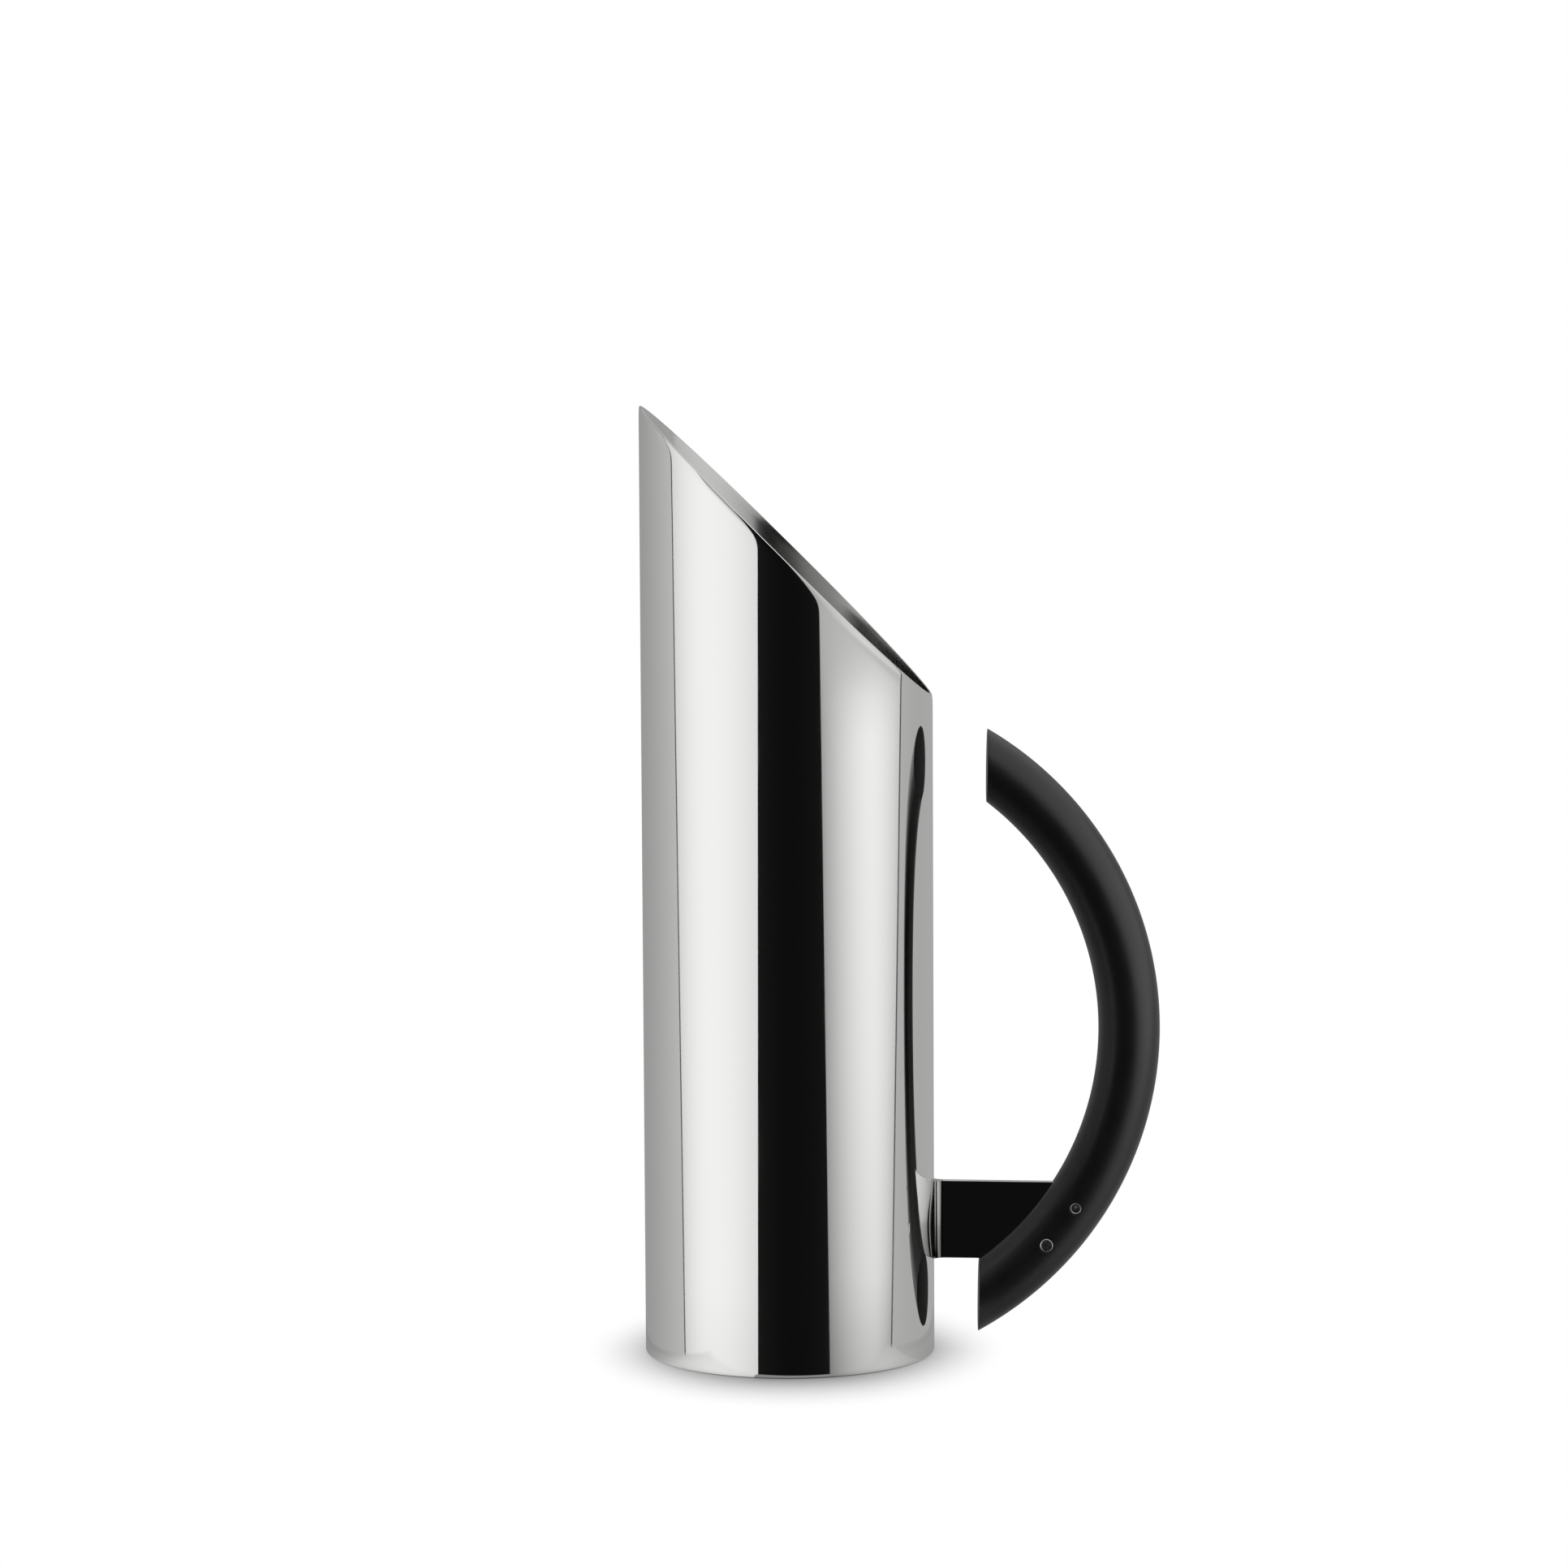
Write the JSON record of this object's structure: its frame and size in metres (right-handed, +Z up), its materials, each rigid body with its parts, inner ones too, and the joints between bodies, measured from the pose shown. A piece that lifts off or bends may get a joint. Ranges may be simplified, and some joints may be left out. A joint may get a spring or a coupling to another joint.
{
  "type": "pitcher",
  "caption": "Tall straight steel jug with a slanted mouth and an open C-shaped black side handle carried low down on one upright plate.",
  "frame": {"origin": "on the axis of the tube, on the underside of the base", "axes": "+Z up along the tube; +X from the tube to the handle, so the spout tip lies at -X; +Y away from someone who sees the handle on the right"},
  "size_m": [0.1513, 0.085, 0.278],
  "materials": {
    "polished_steel": "mirror polish outside, fine satin inside",
    "grip_plastic": "matte, finely grained black",
    "fastener_steel": "fine turned steel with bright chamfers",
    "dark_steel": "plain turned steel"
  },
  "bodies": {
    "root": {"body_tube": "polished_steel", "base_disc": "polished_steel", "bracket_plate": "polished_steel", "grip": "grip_plastic", "clamp_sleeve": "fastener_steel", "clamp_screw": "dark_steel", "dowel": "fastener_steel"}
  },
  "joints": []
}
